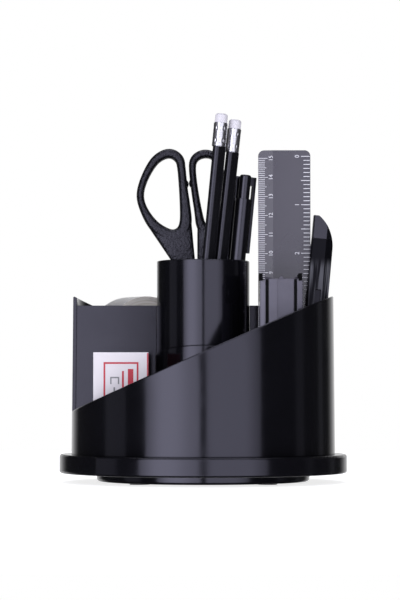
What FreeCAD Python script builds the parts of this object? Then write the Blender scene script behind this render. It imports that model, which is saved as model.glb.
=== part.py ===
import FreeCAD, Part
import Sketcher
import math
import os
import re

# Revolving desk caddy with its tools.
# Millimetres, +Z up, +X right and +Y away from the front; the origin is on the table under the pivot.

SIZES = {
    # Clearances that many pieces share
    "fit_gap": 0.05,
    "tool_gap": 0.3,
    # Turntable
    "pad_proud": 0.6,
    "pad_recess": 0.6,
    "pad_radius": 5.0,
    "pad_circle": 46.0,
    "disc_radius": 55.5,
    "disc_height": 4.0,
    "disc_edge_round": 1.5,
    "swivel_gap": 0.4,
    "swivel_play": 0.05,
    "glide_inner": 39.0,
    "glide_outer": 47.0,
    "bush_wall": 2.0,
    "pivot_radius": 4.0,
    "washer_recess": 2.2,
    "washer_room": 1.0,
    "washer_radius": 8.0,
    "washer_thickness": 0.8,
    "pivot_screw_radius": 1.5,
    "pivot_screw_length": 8.0,
    "pivot_head_radius": 3.2,
    "pivot_head_height": 1.0,
    # Base plate
    "plate_radius": 75.0,
    "plate_height": 9.7,
    "plate_floor": 2.5,
    "plate_skirt": 10.0,
    "plate_round": 1.2,
    "lobe_radius": 76.5,
    "lobe_half_width": 54.0,
    "boss_radius": 24.0,
    # Outer wall
    "wall_foot_radius": 68.75,
    "wall_top_radius": 68.1,
    "wall_thickness": 2.0,
    "wall_high": 82.8,
    "wall_low": 22.1,
    "wall_lip_round": 0.6,
    # Partitions
    "partition_height": 77.5,
    "partition_thickness": 2.0,
    # Pen cup and its collar
    "collar_radius": 24.75,
    "collar_wall": 1.5,
    "collar_floor": 2.3,
    "collar_side_height": 51.7,
    "collar_arch": 4.4,
    "collar_screw_circle": 16.0,
    "collar_screw_radius": 1.2,
    "collar_head_radius": 2.4,
    "collar_head_height": 1.5,
    "collar_head_room": 0.4,
    "seam_gap": 0.3,
    "cup_radius": 24.25,
    "cup_wall": 1.5,
    "cup_height": 100.7,
    "cup_floor": 1.5,
    "cup_lip_round": 0.5,
    "plug_gap": 0.1,
    "plug_overlap": 3.0,
    # Raised floor for the tape
    "shelf_height": 25.0,
    "shelf_thickness": 2.0,
    "shelf_gap": 0.3,
    "shelf_end": 2.0,
    "shelf_rib": 2.0,
    "outer_rib_place": 45.0,
    "outer_rib_start": 8.0,
    "outer_rib_length": 32.0,
    "inner_rib_place": 15.0,
    "inner_rib_start": 26.0,
    "inner_rib_length": 30.0,
    # Scissors
    "scissors_foot_x": 3.75,
    "scissors_foot_y": 5.2,
    "scissors_lean": -4.8,
    "scissors_thickness": 8.0,
    "blade_thickness": 1.45,
    "blade_gap": 0.1,
    "blade_half_width": 6.5,
    "blade_tip_half_width": 0.8,
    "blade_shoulder": 62.0,
    "blade_top": 88.0,
    "tang_start": 3.0,
    "tang_width": 5.0,
    "tang_length": 22.0,
    "rivet_height": 80.0,
    "rivet_radius": 2.4,
    "rivet_head_radius": 4.0,
    "rivet_head_height": 1.0,
    "loop_ring": 4.0,
    "finger_top_x": 12.6,
    "finger_top_z": 146.2,
    "finger_top_radius": 7.4,
    "finger_side_x": 14.5,
    "finger_side_z": 133.2,
    "finger_side_radius": 9.4,
    "finger_low_x": 11.4,
    "finger_low_z": 120.8,
    "finger_low_radius": 5.4,
    "finger_shank_x": 6.3,
    "finger_shank_z": 96.0,
    "finger_shank_radius": 5.2,
    "thumb_top_x": 10.2,
    "thumb_top_z": 145.9,
    "thumb_top_radius": 5.05,
    "thumb_side_x": 10.5,
    "thumb_side_z": 131.1,
    "thumb_side_radius": 5.0,
    "thumb_low_x": 9.5,
    "thumb_low_z": 119.0,
    "thumb_low_radius": 3.7,
    "thumb_shank_x": 5.7,
    "thumb_shank_z": 96.0,
    "thumb_shank_radius": 4.6,
    # Pencils
    "pencil_1_foot_x": -6.95,
    "pencil_1_foot_y": -9.2,
    "pencil_1_lean": 5.49,
    "pencil_1_length": 174.0,
    "pencil_2_foot_x": -1.85,
    "pencil_2_foot_y": -3.6,
    "pencil_2_lean": 6.26,
    "pencil_2_length": 171.7,
    "barrel_corner_radius": 6.0,
    "barrel_edge_round": 2.2,
    "lead_point_radius": 0.25,
    "lead_radius": 1.0,
    "lead_length": 4.5,
    "ferrule_radius": 3.65,
    "ferrule_wall": 0.3,
    "ferrule_length": 12.5,
    "eraser_proud": 4.8,
    "eraser_depth": 8.0,
    # Pens
    "pen_1_foot_x": 7.0,
    "pen_1_foot_y": 10.8,
    "pen_1_lean": 4.36,
    "pen_1_back_lean": 0.0,
    "pen_1_turn": 90.0,
    "pen_2_foot_x": 8.75,
    "pen_2_foot_y": -1.2,
    "pen_2_lean": 5.48,
    "pen_2_back_lean": 1.2,
    "pen_2_turn": 15.0,
    "pen_length": 142.5,
    "pen_barrel_radius": 4.0,
    "pen_plug_length": 3.0,
    "pen_neck_radius": 3.2,
    "pen_neck_length": 12.0,
    "nib_radius": 2.6,
    "nib_point_radius": 0.5,
    "nib_length": 12.0,
    "cap_radius": 4.1,
    "cap_length": 56.0,
    "cap_neck_radius": 3.0,
    "cap_neck_length": 12.8,
    "cap_round": 1.0,
    "nib_room": 1.0,
    "clip_reach": 5.6,
    "clip_thickness": 1.4,
    "clip_width": 3.5,
    "clip_length": 40.0,
    "clip_bridge": 4.5,
    "clip_drop": 1.0,
    # Ruler
    "ruler_left": 28.8,
    "ruler_width": 27.3,
    "ruler_thickness": 2.0,
    "ruler_length": 158.5,
    "ruler_back_gap": 0.7,
    "ruler_bevel": 7.8,
    "ruler_edge": 0.9,
    "ruler_corner": 3.0,
    # Stapler
    "stapler_x": 39.55,
    "stapler_back_gap": 1.3,
    "stapler_length": 92.6,
    "stapler_width": 21.8,
    "stapler_base_width": 18.0,
    "stapler_base_thickness": 3.0,
    "stapler_throat": 8.0,
    "stapler_ear": 1.7,
    "stapler_ear_depth": 19.0,
    "stapler_ear_height": 14.0,
    "stapler_pin_radius": 1.5,
    "stapler_pin_depth": 15.0,
    "stapler_pin_drop": 8.6,
    "anvil_width": 12.0,
    "anvil_thickness": 0.5,
    "anvil_length": 11.0,
    "magazine_width": 13.0,
    "magazine_depth": 9.0,
    "magazine_wall": 0.9,
    "strip_length": 42.0,
    "strip_depth": 5.5,
    "pusher_length": 30.0,
    "stapler_cap_depth": 15.5,
    "stapler_cap_inset": 1.5,
    "stapler_cap_wall": 3.2,
    "stapler_cap_face": 6.0,
    "stapler_cap_crease": 2.0,
    "stapler_panel_fall": 0.5,
    "stapler_side_fall": 1.5,
    "stapler_lug_rise": 3.2,
    "stapler_tab_radius": 1.2,
    "stapler_tab_depth": 2.0,
    "groove_place": 7.2,
    "groove_width": 1.5,
    "groove_depth": 1.0,
    "lug_height": 4.2,
    "lug_gap": 0.4,
    # Knife
    "knife_foot_x": 52.0,
    "knife_front_gap": 0.6,
    "knife_lean": 5.2,
    "knife_width": 11.4,
    "knife_depth": 7.4,
    "knife_length": 123.4,
    "knife_facet_place": 1.9,
    "knife_facet_fall": 3.2,
    "knife_edge_bevel": 0.9,
    "knife_curve_radius": 21.0,
    "knife_curve_start": 106.5,
    "knife_tail_length": 12.0,
    "knife_channel_width": 9.4,
    "knife_channel_depth": 2.2,
    "knife_slot_width": 3.0,
    "knife_slot_start": 30.0,
    "knife_slot_length": 55.0,
    "snap_blade_width": 9.0,
    "snap_blade_thickness": 0.5,
    "snap_blade_length": 75.0,
    "snap_blade_inset": 10.0,
    "slider_thickness": 0.6,
    "slider_length": 24.0,
    "slider_gap": 0.15,
    "knob_width": 6.0,
    "knob_length": 14.0,
    "knob_proud": 1.4,
    # Tape
    "tape_x": -34.5,
    "tape_y": 27.0,
    "tape_turn": 36.0,
    "tape_radius": 29.0,
    "tape_width": 17.5,
    "tape_bore": 13.0,
    "tape_core_wall": 1.5,
    # Box of staples
    "sleeve_x": -42.0,
    "sleeve_y": -24.0,
    "sleeve_width": 28.0,
    "sleeve_depth": 18.0,
    "sleeve_height": 52.2,
    "card": 0.7,
    "tray_gap": 0.25,
    "strip_stack_width": 11.5,
    "strip_stack_depth": 14.2,
}

PAD_COUNT = 4
PAD_START = 45
COLLAR_SCREW_COUNT = 3
COLLAR_SCREW_START = 90

# How near two lengths, or two directions, count as the same
NEAR = 1e-4
PARALLEL = 0.999

doc = FreeCAD.newDocument("desk_caddy")
sheet = doc.addObject("Spreadsheet::Sheet", "Sizes")
for row, (alias, number) in enumerate(SIZES.items(), start=1):
    sheet.set(f"A{row}", alias)
    sheet.set(f"B{row}", str(number))
    sheet.setAlias(f"B{row}", alias)
doc.recompute()

# Heights that several pieces share, from the table up
DISC_TOP = "(pad_proud + disc_height)"
PLATE_BOTTOM = "(pad_proud + disc_height + swivel_gap)"
POST_BOTTOM = "(pad_proud + washer_recess - swivel_play)"
FLOOR = "(pad_proud + disc_height + swivel_gap + plate_height)"
COLLAR_SIDE = f"({FLOOR} + collar_side_height)"
CUP_BOTTOM = f"({FLOOR} + collar_floor)"
CUP_RIM = f"({FLOOR} + cup_height)"
CUP_REST = f"({CUP_BOTTOM} + cup_floor + tool_gap)"
FLOOR_REST = f"({FLOOR} + tool_gap)"
SHELF_TOP = f"({FLOOR} + shelf_height)"

# Radii and faces that mate
BUSH_INNER = "(pivot_radius + swivel_play)"
BUSH_OUTER = "(pivot_radius + swivel_play + bush_wall)"
COLLAR_BORE = "(collar_radius - collar_wall)"
PLUG_RADIUS = "(collar_radius - collar_wall - plug_gap)"
RULER_BACK = "(-partition_thickness / 2 - ruler_back_gap)"
KNIFE_BACK = f"({RULER_BACK} - ruler_thickness - knife_front_gap)"
STAPLER_BACK = f"({KNIFE_BACK} - knife_depth - stapler_back_gap)"

UP = FreeCAD.Vector(0, 0, 1)
ACROSS = FreeCAD.Vector(1, 0, 0)
AWAY = FreeCAD.Vector(0, 1, 0)
AXIS_TURNS = {
    "x": FreeCAD.Rotation(AWAY, 90),
    "y": FreeCAD.Rotation(ACROSS, -90),
    "z": FreeCAD.Rotation(),
}
SIZE_NAME = re.compile(r"[a-z_]\w*")

pieces = {}


def linked(text):
    """The expression with each size name pointing at its cell."""
    def cell(match):
        word = match.group()
        return "Sizes." + word if word in SIZES else word
    return SIZE_NAME.sub(cell, str(text))


def value(text):
    """The number that an expression of sizes comes to."""
    return float(sheet.evalExpression(linked(text)))


def bind(thing, sizes):
    for name, text in sizes.items():
        thing.setExpression(name, linked(text))
    return thing


def seat(thing, x, y, z):
    return bind(thing, {".Placement.Base.x": x, ".Placement.Base.y": y, ".Placement.Base.z": z})


def block(name, length, width, height, x="0", y="0", z="0"):
    """A box whose low corner is at x, y, z."""
    box = doc.addObject("Part::Box", name)
    bind(box, {"Length": length, "Width": width, "Height": height})
    return seat(box, x, y, z)


def bar(name, width, depth, height, x="0", y="0", z="0"):
    """A box centred on x, with its low corner in y and z."""
    return block(name, width, depth, height, f"{x} - ({width}) / 2", y, z)


def rod(name, radius, height, x="0", y="0", z="0", axis="z"):
    cylinder = doc.addObject("Part::Cylinder", name)
    cylinder.Placement = FreeCAD.Placement(FreeCAD.Vector(), AXIS_TURNS[axis])
    bind(cylinder, {"Radius": radius, "Height": height})
    return seat(cylinder, x, y, z)


def taper(name, low_radius, high_radius, height, z="0"):
    cone = doc.addObject("Part::Cone", name)
    bind(cone, {"Radius1": low_radius, "Radius2": high_radius, "Height": height})
    return seat(cone, "0", "0", z)


def join(name, *shapes):
    fusion = doc.addObject("Part::MultiFuse", name)
    fusion.Shapes = list(shapes)
    fusion.Refine = True
    return fusion


def overlap(name, first, second):
    common = doc.addObject("Part::MultiCommon", name)
    common.Shapes = [first, second]
    return common


def cut(name, base, *tools):
    difference = doc.addObject("Part::Cut", name)
    difference.Base = base
    difference.Tool = tools[0] if len(tools) == 1 else join(name + "_tools", *tools)
    return difference


def group(name, *shapes):
    """Separate solids that share one node."""
    compound = doc.addObject("Part::Compound", name)
    compound.Links = list(shapes)
    return compound


def tube(name, outer, inner, height, z="0"):
    return cut(name, rod(name + "_outer", outer, height, z=z), rod(name + "_bore", inner, height, z=z))


def rounded(name, base, radius, chosen):
    """Rounds the edges of base that the test picks."""
    doc.recompute()
    fillet = doc.addObject("Part::Fillet", name)
    fillet.Base = base
    size = value(radius)
    fillet.Edges = [(i, size, size) for i, edge in enumerate(base.Shape.Edges, start=1) if chosen(edge)]
    return fillet


def prism(name, plane, corners, depth, symmetric=True):
    """A straight-sided outline on an origin plane, padded; every corner is bound to the sheet."""
    body = doc.addObject("PartDesign::Body", name)
    sketch = body.newObject("Sketcher::SketchObject", name + "_outline")
    support = next(f for f in body.Origin.OriginFeatures if f.Role == plane)
    sketch.AttachmentSupport = [(support, "")]
    sketch.MapMode = "FlatFace"
    points = [FreeCAD.Vector(value(u), value(v), 0) for u, v in corners]
    count = len(points)
    for i, point in enumerate(points):
        sketch.addGeometry(Part.LineSegment(point, points[(i + 1) % count]), False)
    for i in range(count):
        sketch.addConstraint(Sketcher.Constraint("Coincident", i, 2, (i + 1) % count, 1))
    for i, (corner, point) in enumerate(zip(corners, points)):
        for kind, text, place in zip(("DistanceX", "DistanceY"), corner, (point.x, point.y)):
            index = sketch.addConstraint(Sketcher.Constraint(kind, -1, 1, i, 1, place))
            sketch.setExpression(f"Constraints[{index}]", linked(text))
    pad = body.newObject("PartDesign::Pad", name + "_pad")
    pad.Profile = sketch
    pad.SideType = "Symmetric" if symmetric else "One side"
    bind(pad, {"Length": depth})
    return body


def soften(body, radius, chosen):
    """Rounds the edges of a body that the test picks."""
    doc.recompute()
    base = body.Tip
    names = [f"Edge{i}" for i, edge in enumerate(base.Shape.Edges, start=1) if chosen(edge)]
    fillet = body.newObject("PartDesign::Fillet", body.Name + "_round")
    fillet.Base = (base, names)
    bind(fillet, {"Radius": radius})
    return body


def piece(name, thing, placement=None):
    """Names a finished sub-part and, where it was made in its own upright frame, carries it to its place."""
    if placement is not None:
        thing = group(name + "_placed", thing)
        thing.Placement = placement
    thing.Label = name
    pieces[name] = thing


def solid(name, shape):
    """A sub-part from a shape that no primitive or pad makes."""
    thing = doc.addObject("Part::Feature", name)
    thing.Shape = shape
    return thing


def stand(x, y, z, lean="0", turn="0", back_lean="0"):
    """Foot at x, y, z; turned about its own axis, then leaned towards +X and towards +Y."""
    foot = FreeCAD.Vector(value(x), value(y), value(z))
    leaned = FreeCAD.Rotation(ACROSS, -value(back_lean)) * FreeCAD.Rotation(AWAY, value(lean))
    return FreeCAD.Placement(foot, leaned * FreeCAD.Rotation(UP, value(turn)))


def direction(edge):
    return edge.tangentAt(edge.FirstParameter)


def runs_along(edge, axis):
    return isinstance(edge.Curve, (Part.Line, Part.LineSegment)) and abs(direction(edge).dot(axis)) > PARALLEL


def level_at(edge, height):
    """True if the whole edge lies at that height."""
    box = edge.BoundBox
    return abs(box.ZMin - height) < NEAR and abs(box.ZMax - height) < NEAR


def ring_places(circle, count, start):
    """Evenly spaced places on a circle, as pairs of expressions."""
    for k in range(count):
        angle = start + k * 360 / count
        yield f"{circle} * cos({angle} deg)", f"{circle} * sin({angle} deg)"


def collar_screw_places():
    return ring_places("collar_screw_circle", COLLAR_SCREW_COUNT, COLLAR_SCREW_START)


def turntable():
    disc = rod("disc_blank", "disc_radius", "disc_height", z="pad_proud")
    bottom = value("pad_proud")
    disc = rounded("disc_rounded", disc, "disc_edge_round", lambda edge: level_at(edge, bottom))
    places = list(ring_places("pad_circle", PAD_COUNT, PAD_START))
    holes = [rod(f"pad_hole_{k}", "pad_radius + fit_gap", "pad_recess", x, y, "pad_proud")
             for k, (x, y) in enumerate(places)]
    holes.append(rod("bush_hole", f"{BUSH_OUTER} + fit_gap", "disc_height", z="pad_proud"))
    holes.append(rod("washer_hole", "washer_radius + washer_room", "washer_recess", z="pad_proud"))
    piece("turntable_disc", cut("disc", disc, *holes))
    pads = [rod(f"pad_{k}", "pad_radius", "pad_proud + pad_recess", x, y) for k, (x, y) in enumerate(places)]
    piece("foot_pads", group("pads", *pads))
    bush = tube("bush", BUSH_OUTER, BUSH_INNER, "disc_height - washer_recess", "pad_proud + washer_recess")
    piece("pivot_bush", bush)
    piece("glide_ring", tube("glide", "glide_outer", "glide_inner", "swivel_gap - fit_gap", DISC_TOP))


def base_plate():
    disc = rod("plate_disc", "plate_radius", "plate_height", z=PLATE_BOTTOM)
    disc = rounded("plate_disc_soft", disc, "plate_round", lambda edge: not runs_along(edge, UP))
    lobe_disc = rod("lobe_disc", "lobe_radius", "plate_height", z=PLATE_BOTTOM)
    lobe_band = bar("lobe_band", "2 * lobe_half_width", "2 * lobe_radius", "plate_height",
                    y="-lobe_radius", z=PLATE_BOTTOM)
    lobes = rounded("lobes_soft", overlap("lobes", lobe_disc, lobe_band), "plate_round", lambda edge: True)
    blank = join("plate_blank", disc, lobes)
    depth = "plate_height - plate_floor"
    boss = rod("plate_boss", "boss_radius", depth, z=PLATE_BOTTOM)
    rib = tube("plate_rib", "glide_outer", "glide_inner", depth, PLATE_BOTTOM)
    hollow = rod("hollow_blank", "plate_radius - plate_skirt", depth, z=PLATE_BOTTOM)
    hollow = cut("plate_hollow", hollow, boss, rib)
    post = rod("post", "pivot_radius", f"{PLATE_BOTTOM} - {POST_BOTTOM}", z=POST_BOTTOM)
    bores = [rod("post_bore", "pivot_screw_radius + fit_gap", "pivot_screw_length", z=POST_BOTTOM)]
    screws = []
    underside = f"({FLOOR} - plate_floor)"
    grip = "plate_floor + collar_floor"
    screw_bore = "collar_screw_radius + fit_gap"
    head_bore = "collar_head_radius + collar_head_room"
    for k, (x, y) in enumerate(collar_screw_places()):
        bores.append(rod(f"collar_screw_hole_{k}", screw_bore, "plate_floor", x, y, underside))
        bores.append(rod(f"collar_head_hole_{k}", head_bore, depth, x, y, PLATE_BOTTOM))
        shank = rod(f"collar_screw_shank_{k}", "collar_screw_radius", grip, x, y, underside)
        head = rod(f"collar_screw_head_{k}", "collar_head_radius", "collar_head_height", x, y,
                   f"{underside} - collar_head_height")
        screws.append(join(f"collar_screw_{k}", shank, head))
    shell = join("plate_with_post", cut("plate_shell", blank, hollow), post)
    piece("base_plate", cut("plate", shell, *bores))
    piece("collar_screws", group("collar_screw_set", *screws))
    washer = tube("washer", "washer_radius", "pivot_screw_radius + fit_gap", "washer_thickness",
                  f"{POST_BOTTOM} - washer_thickness")
    piece("pivot_washer", washer)
    head_top = f"({POST_BOTTOM} - washer_thickness)"
    shank = rod("pivot_shank", "pivot_screw_radius", "washer_thickness + pivot_screw_length", z=head_top)
    head = rod("pivot_head", "pivot_head_radius", "pivot_head_height", z=f"{head_top} - pivot_head_height")
    piece("pivot_screw", join("pivot_screw_solid", shank, head))


def inside_wall(name, gap):
    """The space inside the outer wall, smaller by a gap."""
    foot = f"wall_foot_radius - wall_thickness - {gap}"
    top = f"wall_top_radius - wall_thickness - {gap}"
    return taper(name, foot, top, "wall_high", FLOOR)


def wall(name, turn):
    """A half shell whose top edge climbs from its low end to its high end in one slanted plane."""
    outer = taper(name + "_outer", "wall_foot_radius", "wall_top_radius", "wall_high", FLOOR)
    shell = cut(name + "_shell", outer, inside_wall(name + "_inside", "0"))
    side = [("-wall_foot_radius", FLOOR), ("wall_foot_radius", FLOOR),
            ("wall_foot_radius", f"{FLOOR} + wall_high"), ("-wall_foot_radius", f"{FLOOR} + wall_low")]
    half = prism(name + "_half", "XZ_Plane", side, "wall_foot_radius")
    seat(half, "0", "-wall_foot_radius / 2", "0")
    shape = overlap(name + "_cut", shell, half)
    above_foot = value(f"{FLOOR} + wall_lip_round")
    least = value("wall_foot_radius")

    def on_slant(edge):
        climbs = edge.BoundBox.ZMin > above_foot and not runs_along(edge, ACROSS)
        return climbs and edge.Length > least
    shape = rounded(name + "_lip", shape, "wall_lip_round", on_slant)
    piece(name, shape, stand("0", "0", "0", turn=turn))


def partition(name, turn):
    panel = block(name + "_panel", "wall_foot_radius", "partition_thickness", "partition_height",
                  "0", "-partition_thickness / 2", FLOOR)
    panel = overlap(name + "_trim", panel, inside_wall(name + "_reach", "fit_gap"))
    collar = rod(name + "_collar", "collar_radius + fit_gap", "collar_side_height + seam_gap", z=FLOOR)
    cup = rod(name + "_cup", "cup_radius + fit_gap", "partition_height", z=FLOOR)
    piece(name, cut(name + "_cut", panel, collar, cup), stand("0", "0", "0", turn=turn))


def above_seam(name, lift):
    """All that lies above the arched seam: lowest at the sides, highest at the front and rear."""
    side = f"{COLLAR_SIDE} + {lift}"
    corners = [("0", side), ("collar_radius", f"{side} + collar_arch"), ("collar_radius", CUP_RIM),
               ("-collar_radius", CUP_RIM), ("-collar_radius", f"{side} + collar_arch")]
    return prism(name, "YZ_Plane", corners, "2 * collar_radius")


def pen_cup():
    outer = rod("collar_blank", "collar_radius", "collar_side_height + collar_arch", z=FLOOR)
    bore = rod("collar_bore", COLLAR_BORE, "collar_side_height + collar_arch", z=CUP_BOTTOM)
    holes = [rod(f"collar_hole_{k}", "collar_screw_radius + fit_gap", "collar_floor", x, y, FLOOR)
             for k, (x, y) in enumerate(collar_screw_places())]
    piece("cup_collar", cut("collar", outer, bore, above_seam("collar_seam", "0"), *holes))
    shell = tube("cup_shell", "cup_radius", "cup_radius - cup_wall", "cup_height - collar_side_height",
                 COLLAR_SIDE)
    upper = overlap("cup_upper", shell, above_seam("cup_seam", "seam_gap"))
    rim = value(CUP_RIM)
    upper = rounded("cup_lip", upper, "cup_lip_round", lambda edge: level_at(edge, rim))
    plug_height = "collar_side_height - collar_floor + collar_arch + plug_overlap"
    plug = rod("plug_blank", PLUG_RADIUS, plug_height, z=CUP_BOTTOM)
    room = rod("plug_room", f"{PLUG_RADIUS} - cup_wall", plug_height, z=f"{CUP_BOTTOM} + cup_floor")
    piece("pen_cup", join("cup", upper, cut("plug", plug, room)))


def tape_shelf():
    edge = "(partition_thickness / 2 + fit_gap)"
    slab = block("shelf_slab", "wall_foot_radius - shelf_end", "wall_foot_radius", "shelf_thickness",
                 "-wall_foot_radius", edge, f"{SHELF_TOP} - shelf_thickness")
    slab = overlap("shelf_trim", slab, inside_wall("shelf_reach", "shelf_gap"))
    collar = rod("shelf_collar", "collar_radius + shelf_gap", "shelf_height", z=FLOOR)
    slab = cut("shelf_top", slab, collar)
    ribs = [block(f"shelf_rib_{side}", "shelf_rib", f"{side}_rib_length", "shelf_height - shelf_thickness",
                  f"-{side}_rib_place", f"{side}_rib_start", FLOOR) for side in ("outer", "inner")]
    piece("tape_shelf", join("shelf", slab, *ribs))


def hull_plate(circles, thickness):
    """A flat plate round the given circles (x, z, radius), taken anticlockwise: arcs and their tangents."""
    count = len(circles)
    normals = []
    for i, (x, z, radius) in enumerate(circles):
        far_x, far_z, far_radius = circles[(i + 1) % count]
        run = math.hypot(far_x - x, far_z - z)
        heading = math.atan2(far_z - z, far_x - x)
        normals.append(heading - math.acos((radius - far_radius) / run))

    def rim(i, angle):
        x, z, radius = circles[i]
        return FreeCAD.Vector(x + radius * math.cos(angle), -thickness / 2, z + radius * math.sin(angle))
    edges = []
    for i in range(count):
        start = normals[i - 1]
        sweep = (normals[i] - start) % (2 * math.pi)
        edges.append(Part.Arc(rim(i, start), rim(i, start + sweep / 2), rim(i, start + sweep)).toShape())
        edges.append(Part.LineSegment(rim(i, normals[i]), rim((i + 1) % count, normals[i])).toShape())
    return Part.Face(Part.Wire(edges)).extrude(AWAY * thickness)


def scissors_handle(side, loop):
    """A finger loop with its shank; side is -1 for the left half and 1 for the right half."""
    ring = value("loop_ring")
    thickness = value("scissors_thickness")
    spots = [tuple(value(f"{loop}_{spot}_{size}") for size in ("x", "z", "radius"))
             for spot in ("top", "side", "low", "shank")]
    spots = [(side * x, z, radius) for x, z, radius in spots]
    order = (0, 1, 2) if side < 0 else (2, 1, 0)
    hole = [spots[i] for i in order]
    outer = [(x, z, radius + ring) for x, z, radius in hole]
    low_x, low_z, low_radius = spots[2]
    shank = [(low_x, low_z, low_radius + ring), spots[3]]
    handle = hull_plate(outer, thickness).fuse(hull_plate(shank, thickness))
    handle = handle.cut(hull_plate(hole, 2 * thickness))
    gap = value("fit_gap")
    slot_width = value("tang_width") + 2 * gap
    slot_depth = value("blade_thickness") + 2 * gap
    slot_height = value("tang_length") + gap
    middle = side * (value("tang_start") + value("tang_width") / 2)
    corner = FreeCAD.Vector(middle - slot_width / 2, blade_middle(side) - slot_depth / 2, value("blade_top"))
    return handle.cut(Part.makeBox(slot_width, slot_depth, slot_height, corner)).removeSplitter()


def blade_middle(side):
    """The left blade lies in front of the right one."""
    return side * value("blade_thickness + blade_gap") / 2


def scissors_blade(name, side):
    mid = f"{side} * (blade_thickness + blade_gap) / 2"
    tip, half = "blade_tip_half_width", "blade_half_width"
    corners = [(f"-{tip}", "0"), (tip, "0"), (half, "blade_shoulder"), (half, "blade_top"),
               (f"-{half}", "blade_top"), (f"-{half}", "blade_shoulder")]
    plate = seat(prism(name + "_plate", "XZ_Plane", corners, "blade_thickness"), "0", mid, "0")
    tang = bar(name + "_tang", "tang_width", "blade_thickness", "tang_length",
               f"{side} * (tang_start + tang_width / 2)", f"{mid} - blade_thickness / 2", "blade_top")
    hole = rod(name + "_hole", "rivet_radius + fit_gap", "blade_thickness", "0",
               f"{mid} - blade_thickness / 2", "rivet_height", axis="y")
    return cut(name + "_cut", join(name + "_blank", plate, tang), hole)


def scissors():
    place = stand("scissors_foot_x", "scissors_foot_y", CUP_REST, "scissors_lean")
    for side, word, loop in ((-1, "left", "finger"), (1, "right", "thumb")):
        handle = solid(f"scissors_{word}_handle_solid", scissors_handle(side, loop))
        piece(f"scissors_{word}_handle", handle, place)
        piece(f"scissors_{word}_blade", scissors_blade(f"scissors_{word}_blade_solid", side), place)
    stack = "(blade_thickness + blade_gap / 2 + fit_gap)"
    shank = rod("rivet_shank", "rivet_radius", f"2 * {stack}", "0", f"-{stack}", "rivet_height", "y")
    front = rod("rivet_front", "rivet_head_radius", "rivet_head_height", "0", f"-{stack} - rivet_head_height",
                "rivet_height", "y")
    back = rod("rivet_back", "rivet_head_radius", "rivet_head_height", "0", stack, "rivet_height", "y")
    piece("scissors_pivot", join("rivet", shank, front, back), place)


def pencil(name):
    length = f"{name}_length"
    place = stand(f"{name}_foot_x", f"{name}_foot_y", CUP_REST, f"{name}_lean")
    ferrule_start = f"({length} - eraser_proud - ferrule_length)"
    bore = "(ferrule_radius - ferrule_wall)"
    stick = doc.addObject("Part::Prism", name + "_stick")
    stick.Polygon = 3
    bind(stick, {"Circumradius": "barrel_corner_radius", "Height": ferrule_start})
    stick = rounded(name + "_soft", stick, "barrel_edge_round", lambda edge: runs_along(edge, UP))
    slope = "(lead_radius - lead_point_radius) / lead_length"
    point = taper(name + "_point", "lead_radius", f"lead_radius + {slope} * ({ferrule_start} - lead_length)",
                  f"{ferrule_start} - lead_length", "lead_length")
    tenon_length = "ferrule_length - eraser_depth - fit_gap"
    tenon = rod(name + "_tenon", f"{bore} - fit_gap", tenon_length, z=ferrule_start)
    piece(name + "_barrel", join(name + "_wood", overlap(name + "_sharp", stick, point), tenon), place)
    lead = taper(name + "_lead_cone", "lead_point_radius", "lead_radius", "lead_length")
    piece(name + "_lead", lead, place)
    ferrule = tube(name + "_ferrule_tube", "ferrule_radius", bore, "ferrule_length", ferrule_start)
    piece(name + "_ferrule", ferrule, place)
    rubber = rod(name + "_rubber", f"{bore} - fit_gap", "eraser_depth + eraser_proud",
                 z=f"{length} - eraser_proud - eraser_depth")
    top = value(length)
    rubber = rounded(name + "_rubber_soft", rubber, "ferrule_wall", lambda edge: level_at(edge, top))
    piece(name + "_eraser", rubber, place)


def pen(name):
    foot = f"{CUP_REST} + pen_barrel_radius * sin({name}_lean * 1 deg)"
    place = stand(f"{name}_foot_x", f"{name}_foot_y", foot, f"{name}_lean", f"{name}_turn",
                  f"{name}_back_lean")
    neck = "(pen_length - cap_length)"
    nib = f"({neck} + pen_neck_length)"
    plug = rod(name + "_plug_rod", "pen_barrel_radius", "pen_plug_length")
    plug = rounded(name + "_plug_soft", plug, "pen_plug_length / 3", lambda edge: level_at(edge, 0))
    piece(name + "_end_plug", plug, place)
    body = rod(name + "_body", "pen_barrel_radius", f"{neck} - pen_plug_length", z="pen_plug_length")
    spigot = rod(name + "_neck", "pen_neck_radius", "pen_neck_length", z=neck)
    piece(name + "_barrel", join(name + "_tube", body, spigot), place)
    cone = taper(name + "_nib_cone", "nib_radius", "nib_point_radius", "nib_length", nib)
    piece(name + "_nib", cone, place)
    bottom = f"({neck} + fit_gap)"
    sleeve = rod(name + "_cap_rod", "cap_radius", "cap_length - cap_neck_length - fit_gap", z=bottom)
    crown = rod(name + "_cap_crown", "cap_neck_radius", "cap_neck_length", z="pen_length - cap_neck_length")
    shell = join(name + "_cap_blank", sleeve, crown)
    top = value("pen_length")
    shell = rounded(name + "_cap_soft", shell, "cap_round", lambda edge: level_at(edge, top))
    room_length = "pen_neck_length + nib_length + nib_room"
    room = rod(name + "_cap_room", "pen_neck_radius + fit_gap", room_length, z=bottom)
    piece(name + "_cap", cut(name + "_cap_shell", shell, room), place)
    high = "(pen_length - clip_drop)"
    bend = f"({high} - clip_bridge)"
    inner = "(clip_reach - clip_thickness)"
    tip = f"({high} - clip_length)"
    corners = [("0", bend), (inner, bend), (inner, tip),
               ("clip_reach", tip), ("clip_reach", high), ("0", high)]
    strap = prism(name + "_strap", "XZ_Plane", corners, "clip_width")
    crown_seat = rod(name + "_clip_seat", "cap_neck_radius + fit_gap", "clip_length", z=tip)
    piece(name + "_clip", cut(name + "_clip_solid", strap, crown_seat), place)


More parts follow.
